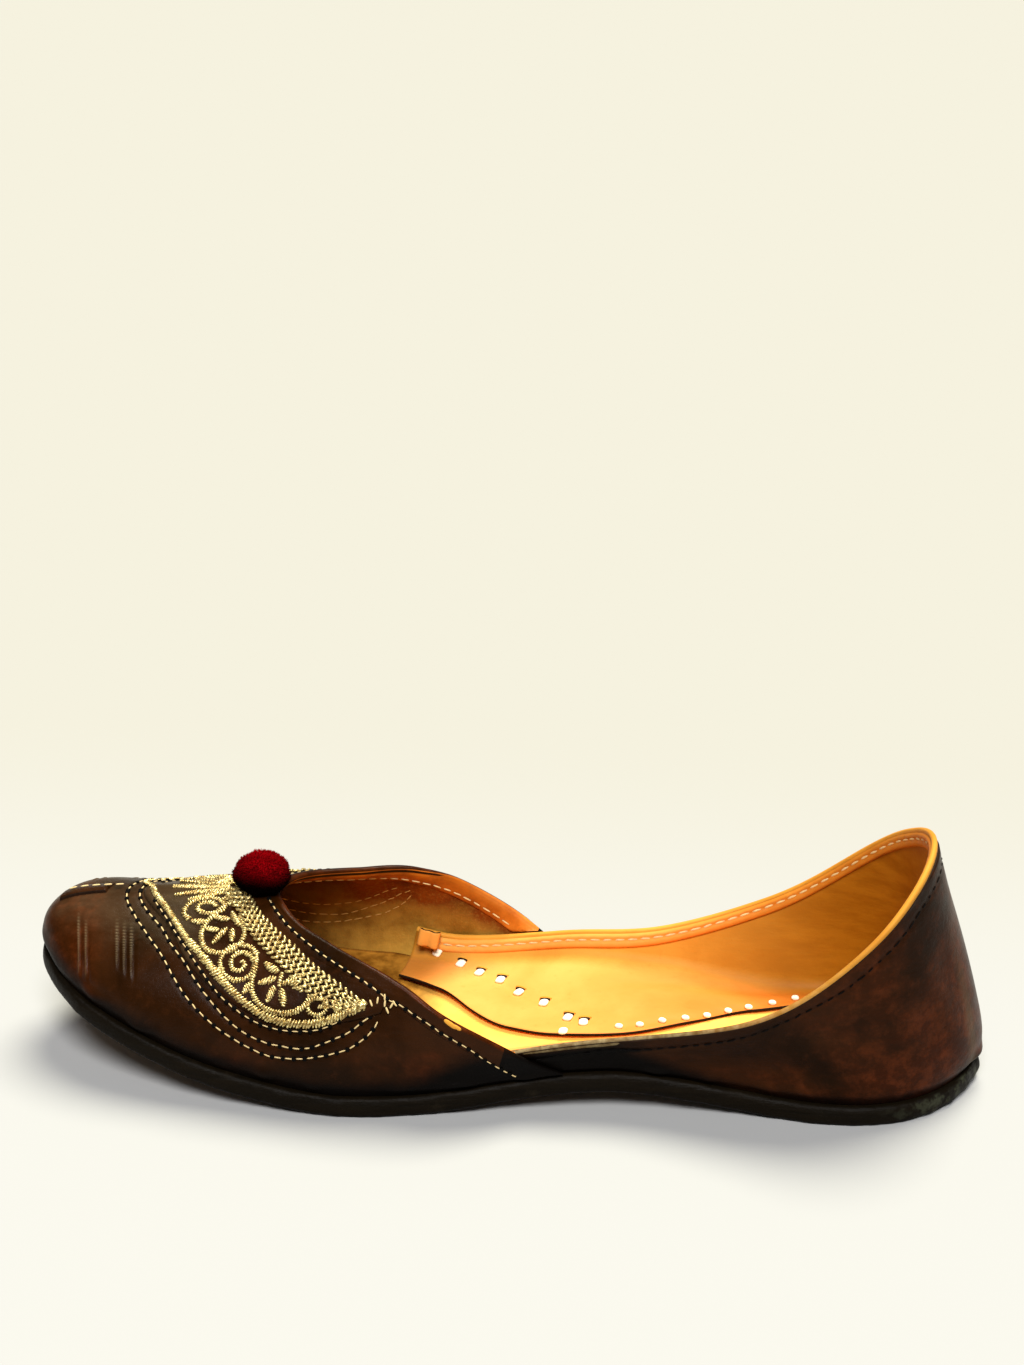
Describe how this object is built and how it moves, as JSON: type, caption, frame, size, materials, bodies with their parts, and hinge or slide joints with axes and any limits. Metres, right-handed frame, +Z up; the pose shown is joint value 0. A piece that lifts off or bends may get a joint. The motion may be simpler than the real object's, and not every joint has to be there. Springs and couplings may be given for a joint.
{
  "type": "jutti",
  "caption": "Traditional leather slip-on shoe with a turned-up toe, an embroidered crescent on the vamp, a low open collar and a wool pompom at the throat.",
  "frame": {"origin": "middle of the shoe's box in plan, on the floor that the sole stands on", "axes": "+X from heel to toe, +Y to the shoe's left side, +Z up"},
  "size_m": [0.2604, 0.0806, 0.0718],
  "materials": {
    "sole_leather": "burnished black edge, worn underside",
    "insole_leather": "plain tan leather, matt",
    "upper_leather": "polished dark brown leather with a reddish patina",
    "gold_embroidery": "gold thread work, satin and chain-like stitches",
    "facing_leather": "light tan leather strip, stitched",
    "crimson_wool": "cut wool pile"
  },
  "bodies": {
    "root": {"outsole": "sole_leather", "insole": "insole_leather", "upper": "upper_leather", "embroidered_panel": "gold_embroidery", "throat_band": "upper_leather", "throat_facing": "facing_leather", "collar_facing": "facing_leather", "toe_seam": "upper_leather", "pompom": "crimson_wool"}
  },
  "joints": []
}
